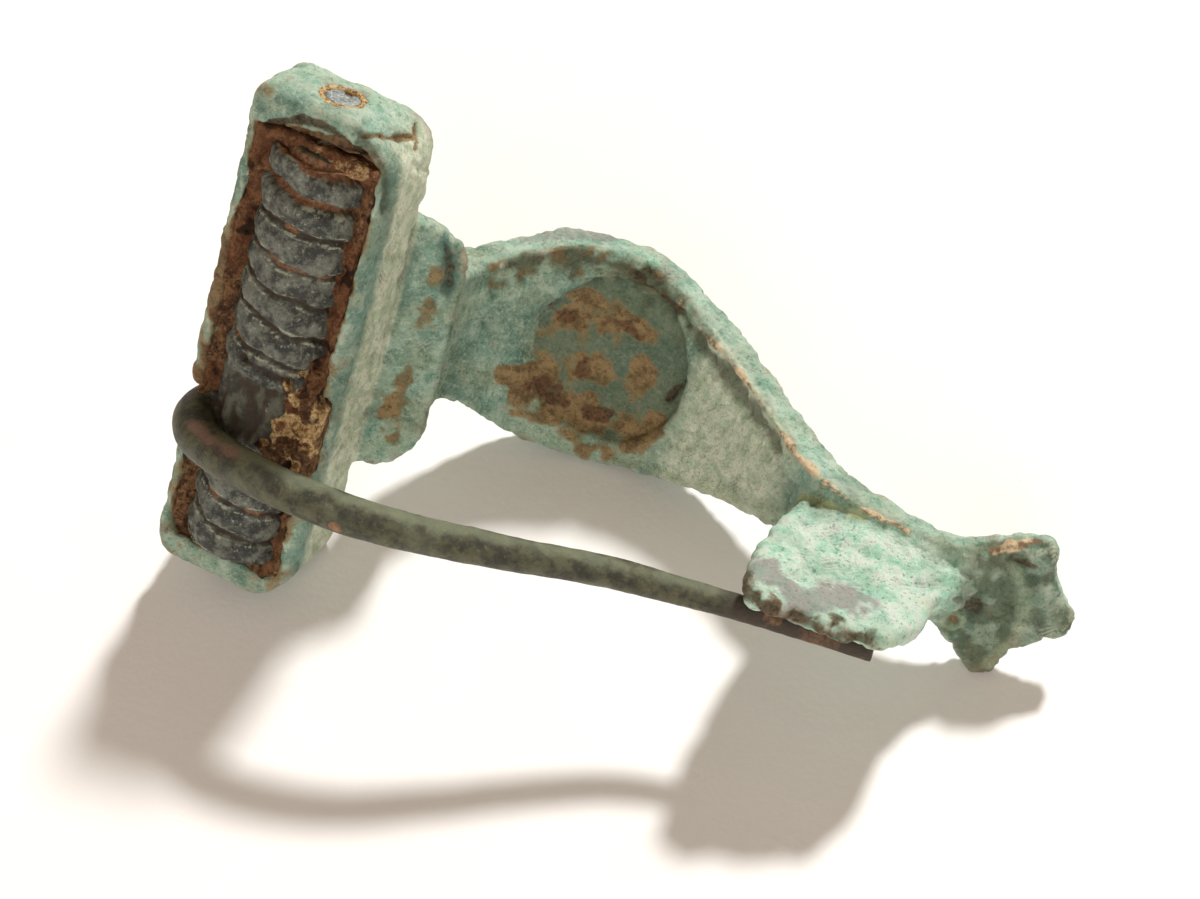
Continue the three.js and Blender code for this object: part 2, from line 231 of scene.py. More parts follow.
# ---- skins ----
class Skin:
    """A closed skin of four-sided faces, in millimetres in the brooch's frame."""

    def __init__(self, points, quads):
        self.points = np.asarray(points, float)
        self.quads = np.asarray(quads, np.int64)
        sides = [self.quads[:, [a, (a + 1) % 4]] for a in range(4)]
        self.pairs = np.concatenate(sides)
        count = np.bincount(self.pairs[:, 0], minlength=len(self.points))
        self.neighbours = np.maximum(count, 1)

    def average(self, values):
        """The mean over each point's neighbours."""
        size = len(self.points)
        near = values[self.pairs[:, 1]]
        if values.ndim == 1:
            return np.bincount(self.pairs[:, 0], near, size) / self.neighbours
        columns = [np.bincount(self.pairs[:, 0], near[:, c], size) for c in range(values.shape[1])]
        return np.stack(columns, axis=1) / self.neighbours[:, None]

    def smooth(self, rounds, strength=0.5):
        """Moves each point towards the middle of its neighbours."""
        for _ in range(rounds):
            self.points += strength * (self.average(self.points) - self.points)

    def normals(self):
        """The direction that the skin faces at each point."""
        corners = self.points[self.quads]
        facing = np.cross(corners[:, 2] - corners[:, 0], corners[:, 3] - corners[:, 1])
        size = len(self.points)
        total = np.zeros((size, 3))
        for a in range(4):
            for c in range(3):
                total[:, c] += np.bincount(self.quads[:, a], facing[:, c], size)
        length = np.linalg.norm(total, axis=1)
        return total / np.maximum(length, 1e-12)[:, None]

    def softened(self, values, rounds):
        """Values spread a little over the skin."""
        for _ in range(rounds):
            values = self.average(values)
        return values

    def push(self, distance):
        """Moves each point outwards by its distance in millimetres, less at sharp edges."""
        facing = self.softened(self.normals(), 3)
        self.points += facing * np.asarray(distance)[..., None]

    def hump(self, rounds):
        """How far each point stands out from the skin around it, in millimetres."""
        bent = ((self.points - self.average(self.points)) * self.normals()).sum(axis=1)
        return self.softened(bent, rounds)


def node_surface(name):
    """A CAD node's points in the brooch's frame and its triangles, with doubled points merged."""
    mesh = frame["nodes"][name].data
    mesh.calc_loop_triangles()
    points = np.array([vertex.co for vertex in mesh.vertices], float)
    points = to_brooch(points)
    rounded, places = np.unique(np.round(points, 3), axis=0, return_inverse=True)
    triangles = np.array([triangle.vertices for triangle in mesh.loop_triangles], np.int64)
    return rounded, places.reshape(-1)[triangles]


def joined(surfaces):
    """Several closed surfaces, each points and faces, as one."""
    points = []
    faces = []
    start = 0
    for some_points, some_faces in surfaces:
        points.append(some_points)
        faces += [[int(corner) + start for corner in face] for face in some_faces]
        start += len(some_points)
    return np.concatenate(points), faces


def skinned(points, faces, voxel):
    """The outer skin of closed surfaces that may overlap, as even four-sided faces."""
    mesh = bpy.data.meshes.new("rough_shape")
    mesh.from_pydata(np.asarray(points).tolist(), [], [list(face) for face in faces])
    shape = bpy.data.objects.new("rough_shape", mesh)
    bpy.context.scene.collection.objects.link(shape)
    remesh = shape.modifiers.new("even_faces", "REMESH")
    remesh.mode = "VOXEL"
    remesh.voxel_size = voxel
    remesh.adaptivity = 0.0
    fine = shape.evaluated_get(bpy.context.evaluated_depsgraph_get()).to_mesh()
    fine_points = np.array([vertex.co for vertex in fine.vertices], float)
    quads = np.array([face.vertices[:] for face in fine.polygons], np.int64)
    shape.to_mesh_clear()
    bpy.data.objects.remove(shape)
    bpy.data.meshes.remove(mesh)
    return Skin(fine_points, quads)


def piece(name, skin, material, masks, body, replaced=None):
    """A shown object made of a skin, with its colour masks kept on the mesh for the material."""
    mesh = bpy.data.meshes.new(name)
    mesh.from_pydata(to_world(skin.points).tolist(), [], skin.quads.tolist())
    mesh.update()
    mesh.polygons.foreach_set("use_smooth", np.ones(len(mesh.polygons), bool))
    for mask_name, channels in masks.items():
        layer = mesh.color_attributes.new(mask_name, "FLOAT_COLOR", "POINT")
        columns = list(channels) + [np.zeros(len(skin.points))] * (3 - len(channels))
        values = np.stack(columns + [np.ones(len(skin.points))], axis=1)
        layer.data.foreach_set("color", np.clip(values, 0, 1).astype(np.float32).ravel())
    # The material's own pattern runs in the brooch's frame, in metres.
    frame_layer = mesh.attributes.new("place", "FLOAT_VECTOR", "POINT")
    frame_layer.data.foreach_set("vector", (skin.points * MM).astype(np.float32).ravel())
    mesh.materials.append(material)
    shape = bpy.data.objects.new(name, mesh)
    bpy.context.scene.collection.objects.link(shape)
    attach(shape, body)
    if replaced:
        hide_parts(replaced)
    return shape


def circle(radius, height, size):
    """A ring of points about the rod's axis."""
    turns = np.linspace(0, 2 * np.pi, size, endpoint=False)
    places = [radius * np.cos(turns), AXIS_Y + radius * np.sin(turns), np.full(size, height)]
    return np.stack(places, axis=1)


def side_faces(count, size, wrapped):
    """Faces from each ring of points to the next, and from the last to the first if wrapped."""
    faces = []
    for i in range(count if wrapped else count - 1):
        n = (i + 1) % count
        for j in range(size):
            k = (j + 1) % size
            faces.append([i * size + j, i * size + k, n * size + k, n * size + j])
    return faces


def closed_tube(rings):
    """A tube over rings of equal size, with its ends closed, as points and faces."""
    rings = np.asarray(rings, float)
    count, size, _ = rings.shape
    points = list(rings.reshape(-1, 3))
    faces = side_faces(count, size, wrapped=False)
    for start, turned in ((0, True), ((count - 1) * size, False)):
        hub = len(points)
        points.append(rings[0 if turned else -1].mean(axis=0))
        for j in range(size):
            a, b = start + j, start + (j + 1) % size
            faces.append([hub, b, a] if turned else [hub, a, b])
    return np.array(points), faces


def thick_tube(rings):
    """A tube with a hole through it, over the rings round its section, as points and faces."""
    rings = np.asarray(rings, float)
    count, size, _ = rings.shape
    return rings.reshape(-1, 3), side_faces(count, size, wrapped=True)


# ---- materials ----
def linear(colour):
    """A colour as seen on a screen, 0 to 255, as the linear values that shaders take."""
    shares = np.array(colour) / 255
    bent = np.where(shares <= 0.04045, shares / 12.92, ((shares + 0.055) / 1.055) ** 2.4)
    return [float(value) for value in bent]


class Recipe:
    """A node material, built a node at a time."""

    def __init__(self, name, roughness=0.7, metallic=0.0, specular=0.4):
        self.material = bpy.data.materials.new(name)
        self.material.use_nodes = True
        self.nodes = self.material.node_tree.nodes
        self.links = self.material.node_tree.links
        self.shader = self.nodes["Principled BSDF"]
        self.shader.inputs["Roughness"].default_value = roughness
        self.shader.inputs["Metallic"].default_value = metallic
        self.shader.inputs["Specular IOR Level"].default_value = specular
        place = self.nodes.new("ShaderNodeAttribute")
        place.attribute_name = "place"
        self.place = place.outputs["Vector"]

    def join(self, source, socket):
        """Sets a socket to a number or a screen colour, or links another node to it."""
        if isinstance(source, (int, float)):
            socket.default_value = source
        elif isinstance(source, tuple):
            socket.default_value = (*linear(source), 1.0)
        else:
            self.links.new(source, socket)

    def masks(self, name):
        """The three channels of a mask kept on the mesh."""
        attribute = self.nodes.new("ShaderNodeAttribute")
        attribute.attribute_name = name
        split = self.nodes.new("ShaderNodeSeparateColor")
        self.links.new(attribute.outputs["Color"], split.inputs[0])
        return list(split.outputs)

    def noise(self, size_mm, detail, roughness=0.6):
        """Noise from 0 to 1 with lumps of about that size."""
        node = self.nodes.new("ShaderNodeTexNoise")
        node.inputs["Scale"].default_value = 1.0 / (size_mm * MM)
        node.inputs["Detail"].default_value = detail
        node.inputs["Roughness"].default_value = roughness
        self.links.new(self.place, node.inputs["Vector"])
        return node.outputs["Fac"]

    def cells(self, size_mm):
        """The distance to the nearest of points scattered about that far apart."""
        node = self.nodes.new("ShaderNodeTexVoronoi")
        node.inputs["Scale"].default_value = 1.0 / (size_mm * MM)
        self.links.new(self.place, node.inputs["Vector"])
        return node.outputs["Distance"]

    def between(self, value, low, high):
        """0 where value is at low or less, 1 at high or more."""
        node = self.nodes.new("ShaderNodeMapRange")
        node.interpolation_type = "SMOOTHSTEP"
        node.clamp = True
        self.join(value, node.inputs["Value"])
        node.inputs["From Min"].default_value = low
        node.inputs["From Max"].default_value = high
        return node.outputs["Result"]

    def ragged(self, mask, noise, amount, low, high):
        """A mask with its edge torn by noise: 0 where it is at low or less, 1 at high or more."""
        centred = self.math("SUBTRACT", noise, 0.5)
        torn = self.math("ADD", mask, self.share(centred, amount))
        return self.between(torn, low, high)

    def math(self, kind, a, b):
        """One sum on two values."""
        node = self.nodes.new("ShaderNodeMath")
        node.operation = kind
        self.join(a, node.inputs[0])
        self.join(b, node.inputs[1])
        return node.outputs["Value"]

    def share(self, a, b):
        """A share of a value, or the part that two masks have in common."""
        return self.math("MULTIPLY", a, b)

    def mix(self, share, under, over):
        """A colour laid over another by a share from 0 to 1."""
        node = self.nodes.new("ShaderNodeMix")
        node.data_type = "RGBA"
        self.join(share, node.inputs["Factor"])
        self.join(under, node.inputs["A"])
        self.join(over, node.inputs["B"])
        return node.outputs["Result"]

    def two_tone(self, noise, low, high, first, second):
        """From one colour to another as noise goes from low to high."""
        return self.mix(self.between(noise, low, high), first, second)

    def over(self, under, mask, strength, top):
        """A colour with another laid over it where a mask is, by that strength."""
        return self.mix(self.share(mask, strength), under, top)

    def finish(self, colour, bumps, roughness=None):
        """The material. Bumps are heights from 0 to 1, each with its depth in millimetres."""
        self.join(colour, self.shader.inputs["Base Color"])
        if roughness is not None:
            self.join(roughness, self.shader.inputs["Roughness"])
        normal = None
        for height, depth_mm in bumps:
            bump = self.nodes.new("ShaderNodeBump")
            bump.inputs["Strength"].default_value = 1.0
            bump.inputs["Distance"].default_value = depth_mm * MM
            self.join(height, bump.inputs["Height"])
            if normal is not None:
                self.links.new(normal, bump.inputs["Normal"])
            normal = bump.outputs["Normal"]
        self.links.new(normal, self.shader.inputs["Normal"])
        return self.material


def verdigris_material():
    """Corroded bronze, in the masks that casting() paints."""
    recipe = Recipe("verdigris", specular=0.3)
    edge, hollow, copper = recipe.masks("wear")
    pale, soil, dark_dirt_and_shade = recipe.masks("tone")
    olive, stain, lemon = recipe.masks("cast")
    rust, teal, pale_grey_and_painted_light = recipe.masks("more")
    broad = recipe.noise(3.0, 3, 0.55)
    middle = recipe.noise(0.9, 6, 0.72)
    fine = recipe.noise(0.22, 5, 0.75)
    dust = recipe.noise(0.09, 3, 0.7)

    # The plain green with its mottling, pale flakes and grains.
    green = recipe.two_tone(broad, 0.38, 0.62, (130, 164, 146), (162, 180, 152))
    green = recipe.over(green, recipe.between(middle, 0.5, 0.62), 0.65, (190, 208, 184))
    green = recipe.over(green, recipe.between(middle, 0.46, 0.34), 0.7, (90, 126, 110))
    mint = recipe.two_tone(middle, 0.36, 0.56, (172, 228, 200), (226, 254, 236))
    white = recipe.share(recipe.between(pale, 0.75, 1.05), recipe.between(middle, 0.47, 0.56))
    flake = recipe.mix(white, mint, (236, 250, 238))
    green = recipe.mix(recipe.math("MAXIMUM", pale, white), green, flake)
    green = recipe.over(green, recipe.between(fine, 0.53, 0.64), 0.55, (214, 228, 206))
    green = recipe.over(green, recipe.between(fine, 0.46, 0.35), 0.62, (80, 102, 86))

    # Other tints of the patina, and metal rubbed or sunk. The pale grey also lightens the case's side as painted
    # light, and the deep olive is also painted shade inside the bow's rim.
    grey = recipe.two_tone(middle, 0.4, 0.6, (206, 222, 190), (248, 254, 230))
    grey = recipe.over(grey, recipe.between(fine, 0.46, 0.36), 0.3, (128, 144, 118))
    green = recipe.over(green, pale_grey_and_painted_light, 0.9, grey)
    deep = recipe.mix(fine, (62, 72, 52), (112, 122, 92))
    green = recipe.over(green, olive, 0.85, deep)
    blue = recipe.mix(fine, (54, 92, 86), (104, 152, 142))
    green = recipe.over(green, teal, 0.85, blue)
    green = recipe.over(green, lemon, 0.6, (226, 230, 168))
    green = recipe.over(green, recipe.ragged(stain, middle, 0.9, 0.2, 1.1), 0.7, (150, 138, 138))
    sunk = recipe.mix(fine, (48, 66, 56), (88, 112, 96))
    green = recipe.over(green, hollow, 0.7, sunk)
    rubbed = recipe.two_tone(broad, 0.46, 0.58, (206, 220, 196), (150, 134, 112))
    green = recipe.mix(recipe.share(edge, recipe.between(middle, 0.42, 0.6)), green, rubbed)

    # Soil with its halo, rust, dark dirt and painted shade, and bare copper, each over the last.
    halo = recipe.mix(fine, (128, 122, 84), (172, 160, 118))
    green = recipe.over(green, recipe.ragged(soil, middle, 0.9, 0.05, 0.5), 0.7, halo)
    tan = recipe.two_tone(middle, 0.4, 0.6, (122, 98, 66), (176, 146, 102))
    tan = recipe.over(tan, recipe.between(fine, 0.49, 0.36), 0.75, (88, 70, 48))
    green = recipe.over(green, recipe.ragged(soil, middle, 1.6, 0.15, 0.75), 0.92, tan)
    brown = recipe.two_tone(fine, 0.36, 0.62, (76, 52, 38), (128, 94, 66))
    green = recipe.over(green, recipe.ragged(rust, middle, 2.4, 0.3, 1.0), 0.9, brown)
    dark = recipe.two_tone(fine, 0.35, 0.65, (40, 34, 26), (112, 92, 66))
    green = recipe.over(green, recipe.ragged(dark_dirt_and_shade, middle, 1.0, 0.2, 0.9), 0.92, dark)
    bare = recipe.two_tone(middle, 0.42, 0.56, (142, 112, 82), (248, 220, 180))
    green = recipe.over(green, recipe.ragged(copper, middle, 0.9, 0.25, 0.8), 0.9, bare)

    roughness = recipe.math("ADD", 0.48, recipe.share(fine, 0.3))
    return recipe.finish(green, [(middle, 0.28), (fine, 0.19), (dust, 0.04)], roughness)


def wire_material():
    """Dark bronze wire, in the masks that spring() paints."""
    recipe = Recipe("dark_wire", specular=0.5)
    pale_line, dark, copper = recipe.masks("wear")
    light, soil, slate = recipe.masks("tone")
    middle = recipe.noise(0.9, 6, 0.7)
    fine = recipe.noise(0.2, 5, 0.75)
    olive = recipe.two_tone(middle, 0.4, 0.6, (46, 46, 32), (88, 88, 62))
    olive = recipe.over(olive, recipe.between(fine, 0.55, 0.7), 0.4, (128, 130, 98))
    olive = recipe.over(olive, recipe.between(fine, 0.44, 0.32), 0.5, (40, 36, 26))
    # A painted highlight along the pin's upper side, with random pale spots.
    olive = recipe.over(olive, light, 0.55, (140, 150, 122))
    grey = recipe.two_tone(middle, 0.4, 0.6, (46, 48, 44), (116, 120, 108))
    grey = recipe.over(grey, recipe.between(fine, 0.56, 0.68), 0.7, (168, 176, 160))
    grey = recipe.over(grey, recipe.between(fine, 0.45, 0.33), 0.65, (36, 34, 30))
    skin = recipe.mix(slate, olive, grey)
    lime = recipe.mix(fine, (126, 128, 102), (204, 208, 184))
    skin = recipe.over(skin, recipe.ragged(pale_line, fine, 1.0, 0.4, 0.9), 0.8, lime)
    black = recipe.mix(fine, (24, 20, 14), (76, 62, 46))
    skin = recipe.mix(recipe.ragged(dark, middle, 0.7, 0.1, 1.0), skin, black)
    rusty = recipe.two_tone(fine, 0.35, 0.65, (98, 66, 44), (160, 116, 80))
    skin = recipe.mix(recipe.ragged(soil, middle, 0.8, 0.35, 0.8), skin, rusty)
    reddish = recipe.mix(fine, (110, 76, 62), (180, 140, 126))
    skin = recipe.mix(copper, skin, reddish)
    roughness = recipe.math("ADD", 0.36, recipe.share(fine, 0.32))
    return recipe.finish(skin, [(middle, 0.11), (fine, 0.1)], roughness)


def soil_material():
    """Soil and rust-brown crust, in the masks that case_soil() and rod_seats() paint."""
    recipe = Recipe("soil", roughness=0.9, specular=0.15)
    sandy, black, red = recipe.masks("tone")
    middle = recipe.noise(0.8, 6, 0.72)
    fine = recipe.noise(0.2, 5, 0.75)
    brown = recipe.two_tone(middle, 0.38, 0.62, (82, 58, 42), (140, 104, 72))
    brown = recipe.over(brown, recipe.between(fine, 0.53, 0.68), 0.6, (178, 144, 106))
    brown = recipe.mix(recipe.between(fine, 0.46, 0.33), brown, (52, 38, 30))
    brown = recipe.over(brown, red, 0.45, (122, 76, 50))
    sand = recipe.two_tone(fine, 0.4, 0.6, (158, 116, 68), (238, 210, 158))
    sand = recipe.mix(recipe.between(middle, 0.44, 0.33), sand, (132, 82, 46))
    brown = recipe.mix(recipe.ragged(sandy, middle, 0.9, 0.25, 0.75), brown, sand)
    brown = recipe.over(brown, black, 0.85, (36, 28, 22))
    return recipe.finish(brown, [(middle, 0.15), (fine, 0.12)])


def rod_material():
    """Dull grey metal, in the masks that rod() paints."""
    recipe = Recipe("grey_rod", roughness=0.45, metallic=0.2, specular=0.5)
    scuffs, rim, _ = recipe.masks("tone")
    middle = recipe.noise(0.5, 6, 0.7)
    fine = recipe.noise(0.14, 5, 0.75)
    grey = recipe.two_tone(middle, 0.38, 0.62, (80, 90, 88), (136, 148, 146))
    grey = recipe.over(grey, recipe.between(fine, 0.5, 0.66), 0.8, (222, 230, 224))
    grey = recipe.over(grey, scuffs, 0.6, (70, 78, 76))
    grey = recipe.over(grey, rim, 0.8, (150, 122, 84))
    return recipe.finish(grey, [(middle, 0.05), (fine, 0.04)])


# ---- the casting ----
def wear_masks(skin, edge_mm, hollow_mm, rounds):
    """Where a skin stands out and where it is sunk, from 0 to 1."""
    bent = skin.hump(rounds)
    edge = skin.softened(rise(bent, 0.3 * edge_mm, edge_mm), rounds // 2)
    hollow = skin.softened(rise(-bent, 0.3 * hollow_mm, hollow_mm), rounds // 2)
    return edge, hollow


# Where the marks are: patches by their centre and half widths, lines by points on them.
# In the dish: tan crust, brown crust on it, a chip and a row of dark spots.
DISH_CRUST = [
    ((10.4, 13.5, 2.8), (1.5, 1.5, 0.8)),
    ((10.4, 13.6, 1.1), (1.9, 1.5, 1.2)),
    ((12.9, 14.0, 1.9), (2.0, 1.5, 0.8)),
    ((11.7, 13.8, -1.1), (1.3, 1.5, 1.1)),
    ((14.4, 13.9, -0.4), (0.9, 1.5, 1.5)),
    ((8.6, 12.2, -2.1), (1.1, 1.5, 1.0)),
    ((10.0, 12.8, -3.1), (2.1, 1.5, 1.6)),
    ((12.2, 13.6, -3.8), (2.2, 1.5, 1.4)),
    ((14.3, 13.7, -3.5), (1.7, 1.5, 1.0)),
    ((16.1, 13.4, -2.3), (0.7, 1.5, 0.8)),
]
DISH_RUST = [
    ((10.2, 13.6, 1.3), (1.5, 1.5, 0.8)),
    ((12.8, 14.0, 1.9), (1.4, 1.5, 0.5)),
    ((11.3, 13.8, -1.3), (0.5, 1.5, 1.2)),
    ((10.4, 12.8, -2.9), (2.0, 1.5, 0.7)),
    ((12.8, 13.6, -3.6), (1.4, 1.5, 0.6)),
]
DISH_NICK = [(16.0, 13.4, -0.9), (16.3, 13.4, -0.1), (16.6, 13.2, 0.6)]
DISH_SPOTS = [(15.4, 13.7, 2.4), (15.8, 13.6, 1.8), (15.9, 13.6, 1.2)]
# On the bow: a darker band under the rim, the rim worn to bare metal, a band of painted shade inside it, a blush.
UNDER_RIM = [
    (6.9, 10.5, 3.9), (8.1, 11.4, 4.7), (9.6, 12.2, 5.1),
    (11.0, 12.8, 5.1), (12.8, 13.1, 4.9), (14.4, 13.1, 4.2),
]
BOW_RIM = [
    (6.6, 10.3, 3.9), (8.0, 11.5, 5.0), (10.0, 12.5, 5.7),
    (12.6, 13.0, 5.8), (14.6, 12.9, 5.1), (16.7, 12.4, 4.1),
    (18.8, 11.4, 3.6), (21.0, 10.2, 2.95), (23.5, 8.6, 2.1),
    (25.1, 7.7, 1.9), (27.0, 6.9, 1.8), (28.6, 6.6, 1.8),
    (30.0, 6.4, 1.9),
]
RIM_SHADE = [
    (13.0, 13.2, 5.2), (14.6, 13.0, 4.4), (16.5, 12.5, 3.4),
    (18.6, 11.6, 2.8), (20.8, 10.4, 2.2), (22.8, 9.2, 1.5),
]
BOW_BLUSH = [(7.0, 12.6, 5.0), (8.6, 13.4, 5.6), (10.4, 14.1, 6.0)]
# On the top end of the case: a torn step, the groove beside it, the dark edge over the cavity.
CASE_STEP = [
    (2.0, 0.0, 12.4), (2.7, 1.7, 12.0), (3.0, 3.5, 11.6),
    (2.7, 4.0, 12.0), (3.2, 3.3, 11.2),
]
CASE_GROOVE = [
    (1.9, 0.0, 12.2), (2.1, 0.0, 11.8), (2.8, 0.0, 11.3),
    (3.4, 0.3, 10.8), (3.6, 0.6, 9.4),
]
CAVITY_ARCH = [
    (-2.5, 0.0, 10.9), (-1.8, 0.0, 11.4), (-0.9, 0.0, 11.9),
    (0.1, 0.0, 12.1), (1.2, 0.0, 11.8), (2.3, 0.0, 11.2),
]
UNDER_ARCH = ((0.0, 0.0, 11.0), (2.3, 1.2, 0.8))
# On the head plate: patches and a streak of soil, the hollow by the neck with a painted shadow along it, the
# curled corner.
PLATE_PATCH = [(4.9, 5.8, -1.6), (4.9, 5.8, -2.8), (4.9, 5.9, -4.2), (5.1, 5.9, -5.2)]
PLATE_STREAK = [(4.9, 5.9, 1.6), (5.0, 5.9, 3.5), (5.1, 5.9, 4.6)]
PLATE_HOLLOW = [(5.1, 5.9, 6.2), (5.5, 6.0, 5.1), (5.7, 6.1, 4.0)]
PLATE_CURL = [(4.0, 5.8, 6.8), (4.8, 6.1, 6.7), (5.4, 6.5, 6.3), (5.95, 6.5, 5.2)]
# On the catch plate: the yellow seam at its root, the broken edge, the grey stain, pale flakes.
CATCH_SEAM = [(24.9, 7.7, 0.5), (26.3, 7.3, 0.9), (27.8, 6.9, 1.3)]
CATCH_EDGE = [
    (24.1, -0.2, 0.1), (24.7, -1.4, 0.0), (27.3, -1.5, -0.1),
    (29.5, -1.1, -0.1), (30.8, -0.8, 0.0),
]
CATCH_STAIN = [(24.5, 0.2, 0.4), (27.3, -0.6, 0.4), (29.4, 1.6, 0.5)]
CATCH_FLAKES = [(25.8, 5.6, 0.6), (28.6, 4.8, 0.6), (31.2, 4.0, 0.5)]
# On the finial: the rubbed ridge, the fold between its faces, a small crater, pits.
FINIAL_RIDGE = [(33.9, 7.0, 2.4), (34.8, 7.3, 3.1), (35.7, 7.5, 3.8)]
FINIAL_FOLD = [
    (35.0, 7.2, 2.3), (35.5, 7.3, 1.6), (36.3, 7.4, 0.1),
    (36.4, 7.4, -1.8), (35.9, 7.3, -3.4),
]
FINIAL_RING = (33.5, 6.7, -1.6)
FINIAL_PITS = [((34.0, 6.9, -0.6), (0.5, 0.6, 0.4)), ((35.3, 7.2, 2.4), (0.9, 0.6, 0.35))]


def casting_parts(places, facing):
    """Where the parts of the casting are."""
    x, y, z = places.T
    back = rise(-facing[:, 1], 0.2, 0.5)
    bow = rise(x, BOW_START, BOW_START + 1.0) * rise(y, 6.2, 7.2)
    catch = rise(x, CATCH_START, CATCH_START + 0.6) * fall(y, 5.8, 7.2) * fall(np.abs(z), 1.4, 1.9)
    torn = 0.4 * rough(places, 1.0, 4, 19)
    cavity = (
        fall(np.abs(x) - 0.6 * torn, CAVITY_HALF + 0.05, CAVITY_HALF + 0.3)
        * fall(z, CAVITY_TOP - 0.1, CAVITY_TOP + 0.25)
        * rise(z, CAVITY_BOTTOM - 0.25, CAVITY_BOTTOM + 0.1)
        * rise(y + torn, -0.05, 0.4)
        * fall(y, 5.0, 5.4)
    )
    clean = rise(rough(places, 2.2, 3, 21), 0.1, 0.5) * fall(z, CAVITY_TOP - 2.0, CAVITY_TOP - 1.0)
    # The dish is round, with a low ring that is crisp only on the foot's side.
    from_middle = np.hypot((x - DISH_X) / DISH_HALF_LENGTH, z / DISH_HALF_WIDTH)
    round_dish = bow * back * rise(x, 7.0, 8.0) * fall(x, 18.0, 19.0)
    dish_ring = round_dish * rise(from_middle, 0.93, 1.0) * fall(from_middle, 1.02, 1.12)
    return Masks(
        back=back, bow=bow, catch=catch, cavity=cavity,
        case=fall(x, 3.8, 4.4) * fall(y, 5.4, 5.9),
        finial=rise(x, FINIAL_START, FINIAL_START + 1.4),
        clean_wall=cavity * clean,
        soiled_wall=cavity * (1 - 0.8 * clean),
        dish=round_dish * fall(from_middle, 0.9, 1.0),
        dish_ring=dish_ring * rise(x, 12.0, 15.0),
        foot_hollow=bow * back * rise(x, 16.5, 18.0) * fall(x, 22.5, 24.5) * (1 - catch),
    )


def casting_marks(places, part):
    """Where the casting is crusted, chipped, cracked and stained."""
    x, y, z = places.T
    finial_lumps = rough(places, 0.8, 2, 55)
    left_rim = part.case * rise(-x, 2.5, 2.9) * fall(y, 0.8, 1.8)
    left_rim = left_rim * rise(z, -4.2, -3.0) * fall(z, 4.0, 6.0)
    from_ring = np.linalg.norm(places - np.array(FINIAL_RING), axis=1)
    from_ring = from_ring + 0.14 * grain(places, 0.5, 403)
    return Masks(
        flakes=rise(rough(places, 1.7, 3, 23), -0.12, 0.14),
        catch_flakes=part.catch * rise(rough(places, 1.5, 2, 53), -0.1, 0.2),
        scabs=part.finial * rise(finial_lumps, -0.1, 0.4),
        between_scabs=part.finial * rise(-finial_lumps, 0.3, 0.8),
        crust=spots(places, DISH_CRUST, 301, ragged=0.6, lumps=1.1, soft=1.0) * part.back,
        rust=spots(places, DISH_RUST, 331, ragged=0.7, lumps=0.7, soft=0.9) * part.back,
        nick=line(places, DISH_NICK, 0.3, 351),
        dish_spots=line(places, DISH_SPOTS, 0.4, 353, ragged=0.8),
        # A darker band under the bow's rim, flecked with soil.
        under_rim_band=line(places, UNDER_RIM, 1.5, 361, ragged=0.6) * part.back,
        rim_line=line(places, BOW_RIM, 0.27, 363, ragged=0.3),
        # Painted shade in the band just inside the bow's rim.
        rim_shade=line(places, RIM_SHADE, 0.75, 367, ragged=0.6),
        step=line(places, CASE_STEP, 0.22, 371),
        groove=line(places, CASE_GROOVE, 0.6, 373),
        arch=line(places, CAVITY_ARCH, 0.3, 375),
        under_arch=spot(places, *UNDER_ARCH, 377, ragged=0.3) * fall(y, 1.0, 1.6),
        patches=line(places, PLATE_PATCH, 0.6, 381, ragged=0.9),
        streak=line(places, PLATE_STREAK, 0.5, 382, ragged=0.9),
        plate_hollow=line(places, PLATE_HOLLOW, 0.65, 383),
        curl=line(places, PLATE_CURL, 0.4, 385),
        # A painted shadow along the hollow under the curled corner.
        curl_shade=line(places, PLATE_HOLLOW, 0.38, 387),
        left_rim=left_rim * rise(rough(places, 1.6, 3, 389), -0.5, 0.1),
        catch_seam=line(places, CATCH_SEAM, 0.5, 391),
        catch_edge=line(places, CATCH_EDGE, 0.7, 393, ragged=0.7),
        ridge=line(places, FINIAL_RIDGE, 0.25, 395),
        fold=line(places, FINIAL_FOLD, 0.45, 397),
        finial_pits=spots(places, FINIAL_PITS, 401),
        crater=fall(from_ring, 0.15, 0.35),
        crater_ring=rise(from_ring, 0.25, 0.42) * fall(from_ring, 0.5, 0.7),
    )


def press_casting(skin, places, part, mark):
    """The relief of the corroded metal, from broad waves to the single marks."""
    skin.push(0.07 * rough(places, 3.2, 3, 11))
    grains = rise(rough(places, 0.6, 2, 37), -0.3, 0.4)
    cracks = fall(np.abs(rough(places, 1.4, 2, 29)), 0.0, 0.13)
    pits = rise(rough(places, 1.0, 2, 41), 0.6, 0.95)
    crusty = 0.07 * mark.flakes + 0.08 * grains - 0.1 * cracks - 0.14 * pits
    skin.push((1 - 0.6 * part.dish) * crusty)
    skin.push(-0.14 * part.cavity)
    skin.push(0.12 * mark.catch_flakes + 0.15 * mark.scabs)

    lumpy_crust = mark.crust * (0.5 + 0.5 * grain(places, 0.5, 77))
    skin.push(0.1 * lumpy_crust + 0.08 * part.dish_ring - 0.1 * part.dish)
    skin.push(-0.3 * mark.nick - 0.12 * mark.under_rim_band - 0.16 * mark.rim_shade + 0.13 * mark.rim_line)
    case_end = -0.2 * mark.step - 0.2 * mark.groove - 0.15 * mark.arch - 0.4 * mark.under_arch
    skin.push(case_end - 0.12 * mark.patches)
    head_plate = -0.35 * mark.plate_hollow + 0.18 * mark.curl
    skin.push(head_plate + 0.13 * mark.ridge + 0.1 * mark.fold - 0.2 * mark.finial_pits)
    broken_edge = mark.catch_edge * rise(rough(places, 0.9, 3, 57), -0.2, 0.5)
    skin.push(0.1 * mark.crater_ring - 0.2 * mark.crater - 0.2 * broken_edge)
    skin.smooth(1, 0.3)


